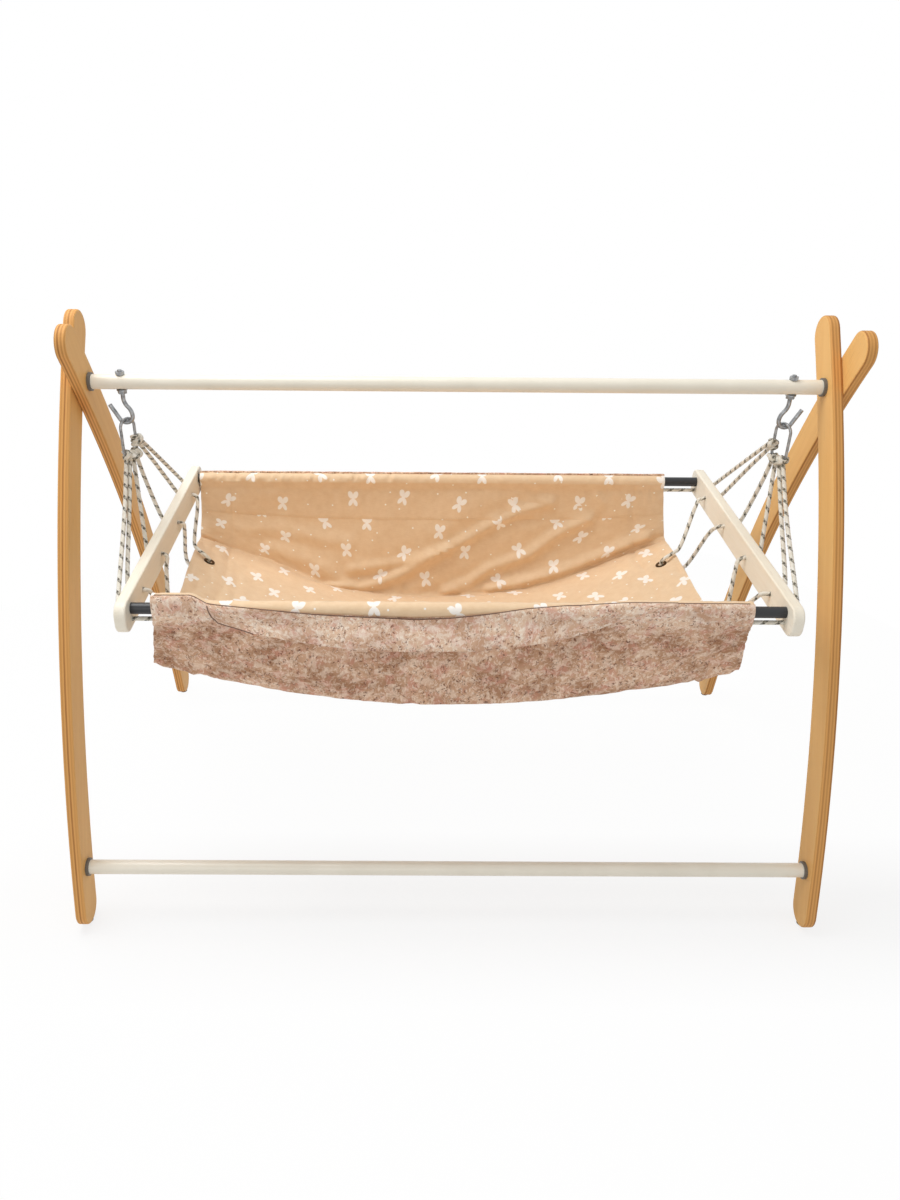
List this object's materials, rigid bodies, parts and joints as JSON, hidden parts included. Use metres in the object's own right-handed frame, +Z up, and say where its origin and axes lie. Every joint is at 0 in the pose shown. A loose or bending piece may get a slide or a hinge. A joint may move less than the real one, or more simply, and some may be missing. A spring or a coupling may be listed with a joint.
{
  "type": "swinging cradle on stand",
  "caption": "Fabric cradle hung by ropes, rings and hooks from the top rod of a folding stand with crossed, bowed plywood legs.",
  "frame": {"origin": "on the floor, under the middle of the top rod", "axes": "+X along the rods to the right, +Y to the back, +Z up"},
  "size_m": [1.2809, 0.762, 0.9486],
  "materials": {
    "plywood": "satin",
    "ivory_steel": "satin",
    "grey_cups": "satin",
    "zinc_steel": "satin",
    "bolt_steel": "satin",
    "black_plastic": "matt",
    "hook_steel": "satin",
    "rope": "matt",
    "pale_wood": "satin",
    "black_steel": "gloss",
    "screw_steel": "satin",
    "eyelet_bronze": "satin",
    "beige_print": "matt",
    "dusty_pink_cloth": "matt"
  },
  "bodies": {
    "front_frame": {"front_left_leg": "plywood", "front_right_leg": "plywood", "top_rod": "ivory_steel", "front_lower_rod": "ivory_steel", "top_rod_plugs": "zinc_steel", "front_rod_plugs": "zinc_steel", "top_rod_cups": "grey_cups", "front_rod_cups": "grey_cups", "left_pivot_bolt": "bolt_steel", "right_pivot_bolt": "bolt_steel", "front_rod_bolts": "bolt_steel", "front_glides": "black_plastic", "left_hook": "hook_steel", "right_hook": "hook_steel", "hook_top_nuts": "hook_steel", "hook_flange_nuts": "hook_steel"},
    "rear_frame": {"rear_left_leg": "plywood", "rear_right_leg": "plywood", "rear_lower_rod": "ivory_steel", "rear_rod_plugs": "zinc_steel", "rear_rod_cups": "grey_cups", "rear_rod_bolts": "bolt_steel", "rear_glides": "black_plastic"},
    "cradle": {"left_ring": "hook_steel", "right_ring": "hook_steel", "left_rear_knot": "rope", "left_front_knot": "rope", "right_rear_knot": "rope", "right_front_knot": "rope", "left_back_end_rope": "rope", "left_back_sling": "rope", "left_front_sling": "rope", "left_front_end_rope": "rope", "right_back_end_rope": "rope", "right_back_sling": "rope", "right_front_sling": "rope", "right_front_end_rope": "rope", "left_spreader": "pale_wood", "right_spreader": "pale_wood", "front_tube": "black_steel", "back_tube": "black_steel", "tube_plugs": "black_plastic", "tube_screws": "screw_steel", "left_eyelets": "eyelet_bronze", "right_eyelets": "eyelet_bronze", "lining": "beige_print", "outer_cloth": "dusty_pink_cloth", "front_sleeve": "beige_print", "back_sleeve": "beige_print", "front_facing": "dusty_pink_cloth"}
  },
  "joints": [
    {"name": "stand_fold", "type": "hinge", "parent": "front_frame", "child": "rear_frame", "pos_m": [0, 0, 0.845], "axis": [1, 0, 0], "range_deg": [-45, 0]},
    {"name": "swing", "type": "hinge", "parent": "front_frame", "child": "cradle", "pos_m": [0, 0, 0.7765], "axis": [1, 0, 0], "range_deg": [-25, 25]}
  ]
}
